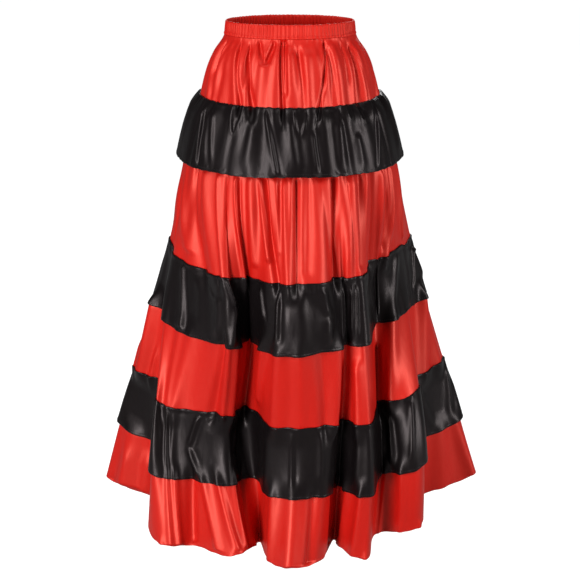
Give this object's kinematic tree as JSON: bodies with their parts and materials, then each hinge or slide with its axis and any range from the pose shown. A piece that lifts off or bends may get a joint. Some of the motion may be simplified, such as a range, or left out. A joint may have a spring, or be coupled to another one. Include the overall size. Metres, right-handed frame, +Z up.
{
  "type": "flamenco skirt",
  "caption": "Full-length flared skirt on an elastic waistband, with gathered flounces sewn round it one below the other, held open in its worn hollow form.",
  "frame": {"origin": "middle of the waist, halfway up the waistband, where the wearer's waist holds the skirt", "axes": "+Z up, -Y towards the front of the skirt, +X to the right as seen from the front"},
  "size_m": [0.774, 0.5952, 0.9866],
  "materials": {
    "waistband casing": "satin, gathered on elastic",
    "red satin": "satin",
    "black satin": "satin"
  },
  "bodies": {
    "root": {"waistband": "waistband casing", "skirt_front": "red satin", "skirt_back": "red satin", "flounce_1_front": "black satin", "flounce_1_back": "black satin", "flounce_2_front": "black satin", "flounce_2_back": "black satin", "flounce_3_front": "black satin", "flounce_3_back": "black satin"}
  },
  "joints": []
}
